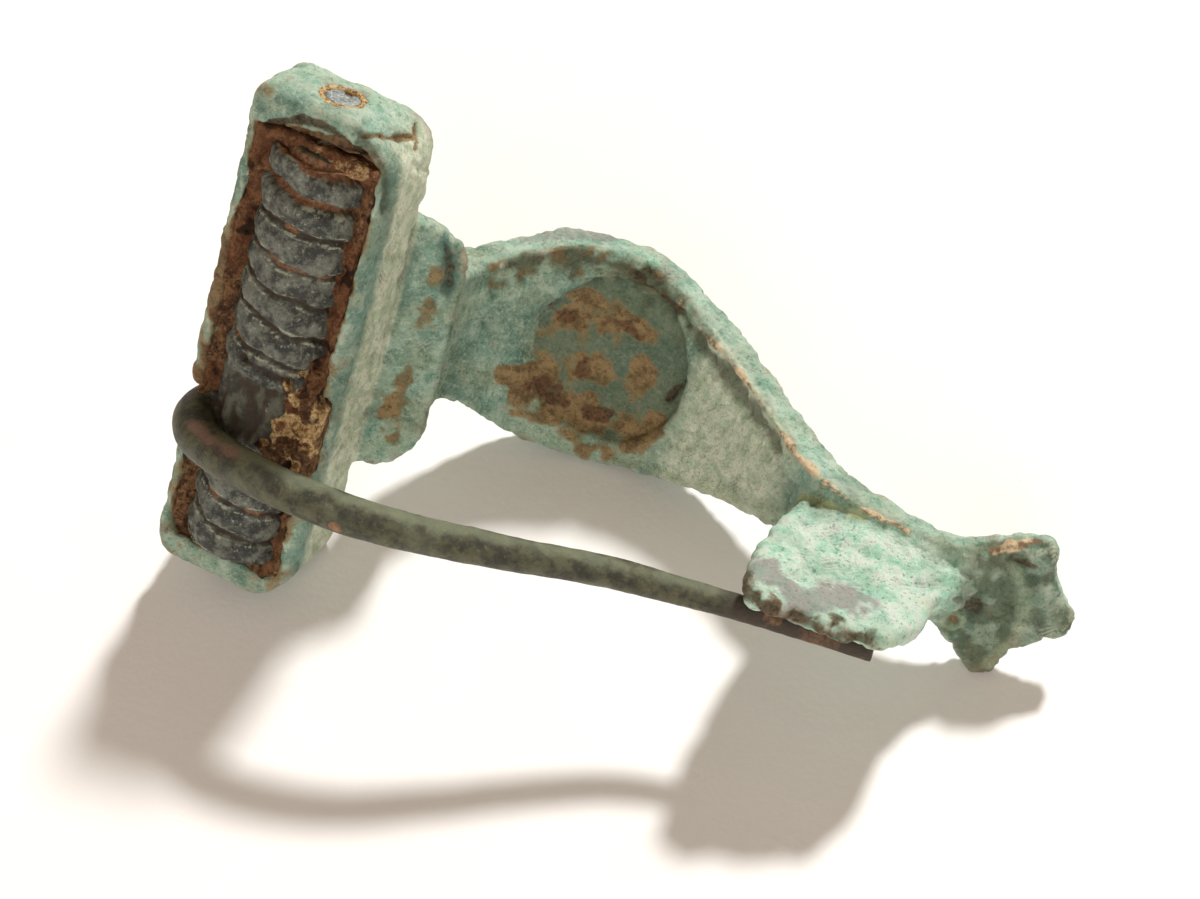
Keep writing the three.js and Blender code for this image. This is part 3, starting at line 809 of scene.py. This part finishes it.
def casting_colours(skin, places, facing, part, mark):
    """The masks that verdigris_material() colours."""
    x, y, z = places.T
    edge, hollow = wear_masks(skin, 0.010, 0.009, 6)
    edge = edge * (1 - 0.8 * part.catch)
    rubbed_rim = mark.rim_line * (0.35 + 0.65 * rise(x, 13.5, 15.5))
    copper = rubbed_rim + 0.9 * mark.ridge + 0.3 * mark.curl + 0.25 * part.finial * edge

    upper = rise(facing[:, 2], 0.3, 0.8)
    outward = rise(facing[:, 0], 0.5, 0.9)
    bow_side = part.bow * (1 - part.back) * upper
    flake_band = part.catch * line(places, CATCH_FLAKES, 1.7, 409, ragged=0.5)
    pale = (
        0.25 * mark.flakes + 0.7 * part.catch + 0.2 * mark.catch_flakes + 0.5 * flake_band
        + 0.35 * bow_side + 0.3 * part.case * upper + 0.35 * mark.scabs
    )
    pale = pale * (1 - 0.8 * part.dish) * (1 - 0.4 * part.finial * part.back)
    pale = pale * (1 - 0.5 * part.foot_hollow)
    # Pale grey patina on the hollow by the foot and on the case's side, where it is also lightened as painted
    # light.
    pale_grey_and_painted_light = 0.9 * part.foot_hollow + part.case * outward * rise(y, 0.9, 2.0)

    off_rod = rise(np.hypot(x, y - AXIS_Y), 2.0, 2.8)
    case_rim = part.case * off_rod * edge * rise(rough(places, 1.4, 2, 59), -0.1, 0.5)
    dry_grime = mark.under_rim_band * rise(rough(places, 0.8, 3, 413), 0.1, 0.5)
    soil = (
        1.3 * mark.crust + 0.5 * mark.streak + 0.6 * mark.patches + part.soiled_wall
        + mark.under_arch + 0.4 * mark.catch_edge + 0.8 * mark.step + 0.5 * case_rim
        + 0.75 * mark.left_rim + 0.7 * mark.crater + 0.5 * dry_grime
    )
    # Dark marks: chips, pits and dirt, and painted shade inside the bow's rim and by the head plate's curl.
    dark_dirt_and_shade = (
        mark.nick + 0.7 * mark.curl_shade + 0.4 * mark.dish_spots + 0.4 * mark.between_scabs
        + 0.5 * mark.under_rim_band + 0.45 * mark.rim_shade + 0.5 * mark.groove + 0.9 * mark.arch
        + 0.75 * mark.catch_edge + 0.7 * mark.finial_pits
    )
    finial_back = part.finial * part.back * (1 - 0.5 * mark.fold) * (1 - 0.45 * mark.scabs)
    # Deep olive tints of the patina, and painted shade inside the bow's rim.
    olive = (
        0.75 * part.dish + 0.9 * finial_back + 0.4 * mark.plate_hollow + 0.8 * mark.groove
        + 0.75 * mark.rim_shade + 0.9 * mark.under_rim_band + 0.8 * part.clean_wall
    )

    catch_stain = part.catch * line(places, CATCH_STAIN, 1.5, 411)
    blush = bow_side * line(places, BOW_BLUSH, 1.2, 415)
    stain = catch_stain + 0.8 * blush
    catch_yellow = part.catch * rise(rough(places, 2.2, 2, 421), 0.3, 0.9)
    lemon = mark.catch_seam + 0.35 * catch_yellow + 0.2 * mark.fold + 0.4 * mark.crater_ring
    case_corner = part.case * rise(x, 3.2, 3.5) * fall(y, 1.0, 1.8)
    bow_teal = bow_side * rise(rough(places, 2.4, 3, 433), 0.0, 0.5)
    teal = 0.9 * mark.plate_hollow + 0.5 * case_corner + 0.35 * bow_teal
    rust = mark.rust + 0.45 * mark.left_rim + 0.9 * part.soiled_wall + 0.8 * mark.under_arch
    return {
        "wear": (edge, hollow, copper),
        "tone": (pale, soil, dark_dirt_and_shade),
        "cast": (olive, stain, lemon),
        "more": (rust, teal, pale_grey_and_painted_light),
    }


def casting():
    """The one-piece casting: case, bow, dish, catch plate and finial."""
    skin = skinned(*node_surface("brooch_casting"), CASTING_VOXEL)
    skin.smooth(14)
    places = skin.points.copy()
    facing = skin.normals()
    part = casting_parts(places, facing)
    mark = casting_marks(places, part)
    press_casting(skin, places, part, mark)
    masks = casting_colours(skin, places, facing, part, mark)
    material = verdigris_material()
    piece("casting_skin", skin, material, masks, "brooch", "brooch_casting")


# ---- the spring and its pin ----
SLEEVE_CRACK = [(-0.9, -0.7, -0.1), (0.3, -0.8, -0.2), (1.6, -0.4, -0.5)]
COIL_CHIPS = [((0.6, -0.5, 8.4), (0.35, 0.5, 0.32)), ((1.9, 0.1, 8.3), (0.22, 0.5, 0.3))]
PIN_ROOT = [(-1.8, -2.2, -3.6), (-0.5, -2.9, -3.4), (0.9, -3.3, -3.1)]
PIN_RUST = ((6.9, -4.9, -3.5), (0.32, 0.6, 0.28))


def groove_reach(places):
    """How far each place is along z from the groove between two turns, in millimetres."""
    turn = np.arctan2(places[:, 1] - AXIS_Y, places[:, 0]) / (2 * np.pi)
    drift = 0.13 * rough(places, 1.8, 3, 61)
    phase = (places[:, 2] / COIL_PITCH + turn + drift) % 1.0
    return np.minimum(phase, 1 - phase) * COIL_PITCH


def drum(radius, top, bottom):
    """A thick tube about the rod, as points and faces."""
    heights = np.linspace(bottom, top, int((top - bottom) / 0.4))
    section = [(COIL_BORE, heights[0])]
    section += [(radius, height) for height in heights]
    section += [(COIL_BORE, heights[-1])]
    return thick_tube([circle(reach, height, size=96) for reach, height in section[::-1]])


def curve_through(points, steps):
    """An evenly stepped smooth curve through points, drawn with centripetal splines."""
    points = np.array(points, float)
    padded = np.vstack([2 * points[0] - points[1], points, 2 * points[-1] - points[-2]])
    drawn = []
    for corners in zip(padded, padded[1:], padded[2:], padded[3:]):
        gaps = [np.sqrt(np.linalg.norm(b - a)) for a, b in zip(corners, corners[1:])]
        knots = np.cumsum([0.0] + gaps)
        for t in np.linspace(knots[1], knots[2], 40, endpoint=False):
            drawn.append(spline_point(corners, knots, t))
    drawn.append(points[-1])
    drawn = np.array(drawn)
    gone = np.concatenate([[0], np.cumsum(np.linalg.norm(np.diff(drawn, axis=0), axis=1))])
    wanted = np.linspace(0, gone[-1], steps)
    return np.stack([np.interp(wanted, gone, drawn[:, c]) for c in range(3)], axis=1)


def spline_point(corners, knots, t):
    """A point of a Catmull-Rom span, blended down from its four corners."""
    a, b, c, d = corners
    t0, t1, t2, t3 = knots
    ab = blended(a, b, t0, t1, t)
    bc = blended(b, c, t1, t2, t)
    cd = blended(c, d, t2, t3, t)
    return blended(blended(ab, bc, t0, t2, t), blended(bc, cd, t1, t3, t), t1, t2, t)


def blended(start, end, low, high, t):
    """From start to end as t goes from low to high."""
    share = (t - low) / (high - low)
    return (1 - share) * start + share * end


def pin():
    """The pin, a drawn wire that thins from its root to the catch."""
    steps = 240
    centres = curve_through(PIN_PATH, steps)
    along = np.gradient(centres, axis=0)
    along /= np.linalg.norm(along, axis=1)[:, None]
    side = np.cross(along, [0.0, 0.0, 1.0])
    side /= np.linalg.norm(side, axis=1)[:, None]
    lift = np.cross(along, side)
    radii = np.interp(np.linspace(0, 1, steps), (0, 0.5, 1), PIN_RADII)
    around = np.linspace(0, 2 * np.pi, 28, endpoint=False)
    rings = []
    for centre, a, b, radius in zip(centres, side, lift, radii):
        rings.append(centre + radius * (np.cos(around)[:, None] * a + np.sin(around)[:, None] * b))
    return closed_tube(rings)


def spring():
    """The spring's turns and fused band, as one skin with the pin."""
    upper = drum(COIL_RADIUS, CAVITY_TOP - COIL_END_GAP, SLEEVE_TOP)
    lower = drum(COIL_RADIUS, SLEEVE_BOTTOM, CAVITY_BOTTOM + COIL_END_GAP)
    fused = drum(SLEEVE_RADIUS, SLEEVE_TOP + 0.2, SLEEVE_BOTTOM - 0.2)
    skin = skinned(*joined([upper, fused, lower, pin()]), SPRING_VOXEL)
    skin.smooth(3)
    places = skin.points.copy()
    x, y, z = places.T
    from_axis = np.hypot(x, y - AXIS_Y)
    on_drum = fall(from_axis, COIL_RADIUS + 0.08, COIL_RADIUS + 0.3) * rise(from_axis, 1.6, 2.0)
    on_wire = 1 - on_drum
    sleeve = rise(z, SLEEVE_BOTTOM - 0.1, SLEEVE_BOTTOM + 0.3)
    sleeve = sleeve * fall(z, SLEEVE_TOP - 0.3, SLEEVE_TOP + 0.1)
    on_turns = on_drum * (1 - sleeve)
    on_sleeve = on_drum * sleeve

    # Each turn is a low band, and a thin groove parts it from the next. The first turns stand free.
    reach = groove_reach(places)
    free = rise(z, CAVITY_TOP - 4.2, CAVITY_TOP - 2.2)
    groove = on_turns * fall(reach, 0.02, 0.2 + 0.22 * free)
    band = on_turns * rise(reach, 0.0, 0.75)
    cut = (0.16 + 0.35 * free) * groove * on_turns
    skin.push(-0.2 + 0.14 * band - cut + 0.2 * (1 - on_turns))
    crack = line(places, SLEEVE_CRACK, 0.3, 471, ragged=0.2)
    flakes = rise(rough(places, 0.9, 3, 475), 0.0, 0.3)
    skin.push(-0.3 * crack + 0.05 * on_turns * flakes)
    crust = (0.012 + 0.04 * on_drum) * rough(places, 0.4, 3, 97)
    skin.push(0.03 * rough(places, 1.8, 2, 91) + crust)
    fibres = rough(places * np.array([1.0, 1.0, 0.45]), 0.5, 2, 99)
    skin.push(0.13 * on_sleeve * fibres)

    edge, hollow = wear_masks(skin, 0.012, 0.012, 1)
    lips = on_turns * rise(reach, 0.12, 0.2) * fall(reach, 0.22, 0.32)
    lips = lips * (0.6 + 0.4 * rise(rough(places, 0.8, 3, 481), -0.1, 0.5))
    chips = spots(places, COIL_CHIPS, 519, ragged=0.2)
    tip = on_wire * rise(x + 0.6 * rough(places, 1.5, 2, 517), 23.0, 25.5)
    dark_fibres = on_sleeve * (0.35 + 0.6 * rise(-fibres, -0.2, 0.4))
    dark = 1.3 * crack + 0.35 * hollow + dark_fibres + 1.1 * tip
    dark = dark + 0.5 * on_turns * (groove + 0.4 * (1 - flakes))
    path = np.array(PIN_PATH) - (0, 0.1, 0)
    underside = on_wire * rise(x, 4.0, 7.0) * line(places, path - (0, 0, 0.85), 0.45, 515)
    # A painted highlight along the upper side of the pin.
    painted_highlight = on_wire * rise(x, -1.0, 1.0) * line(places, path + (0, 0, 0.85), 0.6, 516)
    copper = 0.6 * line(places, PIN_ROOT, 0.5, 501) + 0.35 * underside
    light_spots = on_wire * rise(rough(places, 1.4, 3, 531), 0.2, 0.9)
    end_face = on_drum * rise(z, CAVITY_TOP - 0.6, CAVITY_TOP - 0.45)
    soil = (
        spot(places, *PIN_RUST, 511)
        + end_face
        + 1.2 * free * groove
        + on_turns * groove * rise(rough(places, 2.0, 2, 521), -0.1, 0.4)
        + 0.55 * tip * rise(rough(places, 1.0, 3, 523), -0.1, 0.6)
    )
    pale_fibres = on_sleeve * (0.3 + 0.4 * rise(fibres, 0.0, 0.6))
    masks = {
        "wear": (0.85 * lips + 1.2 * chips + 0.45 * edge * on_turns, dark, copper),
        "tone": (0.8 * painted_highlight + 0.3 * light_spots, soil, on_turns + pale_fibres),
    }
    piece("spring_skin", skin, wire_material(), masks, "pin", "spring_and_pin")


def rod():
    """The rod, with its wider ends nearly flush with the ends of the case."""
    low = [
        (0.05, -ROD_HALF),
        (0.8, -ROD_HALF),
        (ROD_RADIUS, -ROD_HALF + 0.15),
        (ROD_RADIUS, -ROD_HALF + 0.5),
        (0.75, -ROD_HALF + 0.65),
    ]
    high = [(radius, -height) for radius, height in low[::-1]]
    rings = [circle(radius, height, size=40) for radius, height in low + high]
    skin = skinned(*closed_tube(rings), ROD_VOXEL)
    skin.smooth(2)
    places = skin.points.copy()
    end = rise(np.abs(places[:, 2]), ROD_HALF - 0.4, ROD_HALF - 0.15)
    scuffs = rise(rough(places, 0.8, 3, 601), 0.0, 0.35)
    skin.push(-0.14 * end * scuffs + 0.02 * rough(places, 0.3, 2, 607))
    rim = rise(np.hypot(places[:, 0], places[:, 1] - AXIS_Y), 0.72, 0.9)
    masks = {"tone": (scuffs, rim)}
    piece("rod_skin", skin, rod_material(), masks, "brooch", "spring_axis_rod")


# ---- soil ----
def slab(top, grid, columns, rows, floor_y):
    """A closed slab over a grid, from y = top at each point to floor_y, as points and faces."""
    upper = grid.copy()
    upper[:, 1] = top
    lower = grid.copy()
    lower[:, 1] = floor_y
    count = len(grid)
    faces = []
    for r in range(rows - 1):
        for c in range(columns - 1):
            a = r * columns + c
            quad = [a, a + 1, a + 1 + columns, a + columns]
            faces.append(quad)
            faces.append([corner + count for corner in quad[::-1]])
    rim = list(range(columns)) + [r * columns + columns - 1 for r in range(1, rows)]
    rim += list(range(rows * columns - 2, (rows - 1) * columns - 1, -1))
    rim += [r * columns for r in range(rows - 2, 0, -1)]
    for a, b in zip(rim, rim[1:] + rim[:1]):
        faces.append([b, a, a + count, b + count])
    return np.vstack([upper, lower]), faces


def case_soil():
    """Soil packed round the spring, nearly level with the rim and heaped in the worn notch."""
    columns, rows = 66, 200
    side = CAVITY_HALF + SOIL_OVERLAP
    heights = np.linspace(CAVITY_BOTTOM - SOIL_OVERLAP, CAVITY_TOP + SOIL_OVERLAP, rows)
    in_notch = fall(heights, NOTCH_TOP - 0.25, NOTCH_TOP - 0.05)
    in_notch = in_notch * rise(heights, NOTCH_BOTTOM + 0.05, NOTCH_BOTTOM + 0.25)
    right = side + in_notch * (CASE_HALF - 0.2 - side)
    x = np.concatenate([np.linspace(-side, end, columns) for end in right])
    z = np.repeat(heights, columns)
    grid = np.stack([x, np.zeros(len(x)), z], axis=1)
    near = np.minimum(CAVITY_HALF - np.abs(x), 0.8 * (z - CAVITY_BOTTOM))
    top = 0.2 + 0.5 * rise(near, 0.0, 0.9) + 0.3 * rough(grid, 1.1, 4, 701)
    end_bank = rise(z, CAVITY_TOP - 1.1, CAVITY_TOP - 0.5)
    bank_top = 0.1 + 0.35 * rough(grid, 0.9, 3, 703)
    top = top + end_bank * (bank_top - top)
    heap = spot(grid, (2.4, 0.0, -2.6), (2.1, 1.0, 2.5), 711, ragged=0.5)
    crumbs = 0.4 * rough(grid, 0.7, 3, 719)
    top = top - heap * (1.05 + crumbs)
    top = np.clip(top, -0.75, CAVITY_FLOOR - 0.4)
    skin = skinned(*slab(top, grid, columns, rows, CAVITY_FLOOR - 0.1), SOIL_VOXEL)
    skin.smooth(1)
    places = skin.points.copy()
    holes = rise(rough(places, 0.6, 3, 735), 0.3, 0.7)
    skin.push(0.07 * rough(places, 0.4, 3, 731) - 0.12 * holes)
    sandy = spot(places, (2.5, 0.0, -2.6), (1.8, 2.0, 2.2), 741, ragged=0.7, soft=0.7)
    sandy = sandy + 0.5 * spot(places, (1.0, 0.5, 10.6), (1.4, 1.5, 0.5), 745, ragged=0.7)
    red = rise(rough(places, 2.2, 2, 751), -0.2, 0.5)
    black = rise(rough(places, 0.8, 3, 761), 0.3, 0.7) * (1 - 0.7 * sandy)
    masks = {"tone": (sandy, black, red)}
    piece("case_soil", skin, soil_material(), masks, "brooch")


def rod_seats():
    """The corrosion that fills the ring between the rod's ends and the case."""
    for name, outside, seed in (("rod_seat_top", 1, 801), ("rod_seat_bottom", -1, 811)):
        rings = []
        for radius, depth in ROD_SEAT_SECTION:
            rings.append(circle(radius, outside * (CASE_TOP - depth), size=48))
        skin = skinned(*thick_tube(rings[::outside]), ROD_VOXEL)
        skin.smooth(2)
        places = skin.points.copy()
        skin.push(0.04 * rough(places, 0.4, 3, seed))
        sandy = 0.75 + 0.4 * grain(places, 0.6, seed + 3)
        piece(name, skin, soil_material(), {"tone": (sandy,)}, "brooch")


# ---- floor, light and camera ----
def floor():
    """The pale paper that the brooch lies on."""
    mesh = bpy.data.meshes.new("table")
    half = TABLE_HALF
    corners = [(-half, -half, 0), (half, -half, 0), (half, half, 0), (-half, half, 0)]
    mesh.from_pydata(corners, [], [(0, 1, 2, 3)])
    table = bpy.data.objects.new("table", mesh)
    bpy.context.scene.collection.objects.link(table)
    recipe = Recipe("table_paper", roughness=0.75, specular=0.2)
    coordinates = recipe.nodes.new("ShaderNodeTexCoord")
    recipe.place = coordinates.outputs["Object"]
    paper = recipe.mix(recipe.noise(9.0, 5), (238, 236, 235), (248, 247, 246))
    specks = recipe.between(recipe.cells(9.0), 0.020, 0.012)
    some = recipe.between(recipe.noise(14.0, 2), 0.5, 0.6)
    paper = recipe.mix(recipe.share(specks, some), paper, (120, 116, 108))
    mesh.materials.append(recipe.finish(paper, [(recipe.noise(0.5, 4), 0.02)]))


def area_light(name, towards, distance, size, power, tint):
    """A round light seen from the brooch in the direction towards."""
    middle = Vector((0.0, 0.0, LIT_HEIGHT))
    towards = Vector(towards).normalized()
    light = bpy.data.lights.new(name, "AREA")
    light.shape = "DISK"
    light.size = size
    light.energy = power
    light.color = tint
    lamp = bpy.data.objects.new(name, light)
    lamp.location = middle + distance * towards
    lamp.rotation_euler = towards.to_track_quat("Z", "Y").to_euler()
    bpy.context.scene.collection.objects.link(lamp)


def lights():
    """A window behind the brooch, a weak broad light before it and a dim warm room."""
    area_light("window", KEY_TOWARDS, KEY_DISTANCE, KEY_SIZE, KEY_POWER, KEY_TINT)
    area_light("front_fill", FILL_TOWARDS, FILL_DISTANCE, FILL_SIZE, FILL_POWER, FILL_TINT)
    world = bpy.data.worlds.new("studio")
    world.use_nodes = True
    background = world.node_tree.nodes["Background"]
    background.inputs["Color"].default_value = (*WORLD_TINT, 1.0)
    background.inputs["Strength"].default_value = WORLD_STRENGTH
    bpy.context.scene.world = world


def camera():
    """The camera that took the photograph, as far as it can be told from it."""
    lens = bpy.data.cameras.new("photo_camera")
    lens.lens = CAMERA_LENS
    lens.sensor_width = SENSOR_WIDTH
    lens.sensor_fit = "HORIZONTAL"
    lens.clip_start = 0.005
    eye = bpy.data.objects.new("photo_camera", lens)
    bpy.context.scene.collection.objects.link(eye)
    ahead = unit(np.array(CAMERA_AHEAD) @ AXES)
    up = np.array(CAMERA_UP) @ AXES
    right = unit(np.cross(ahead, up))
    up = np.cross(right, ahead)
    turn = Matrix((right, up, -ahead)).transposed().to_4x4()
    eye.matrix_world = Matrix.Translation(to_world(CAMERA_PLACE)) @ turn
    bpy.context.scene.camera = eye


casting()
spring()
rod()
case_soil()
rod_seats()
floor()
lights()
camera()

bpy.context.scene.view_settings.view_transform = "Standard"
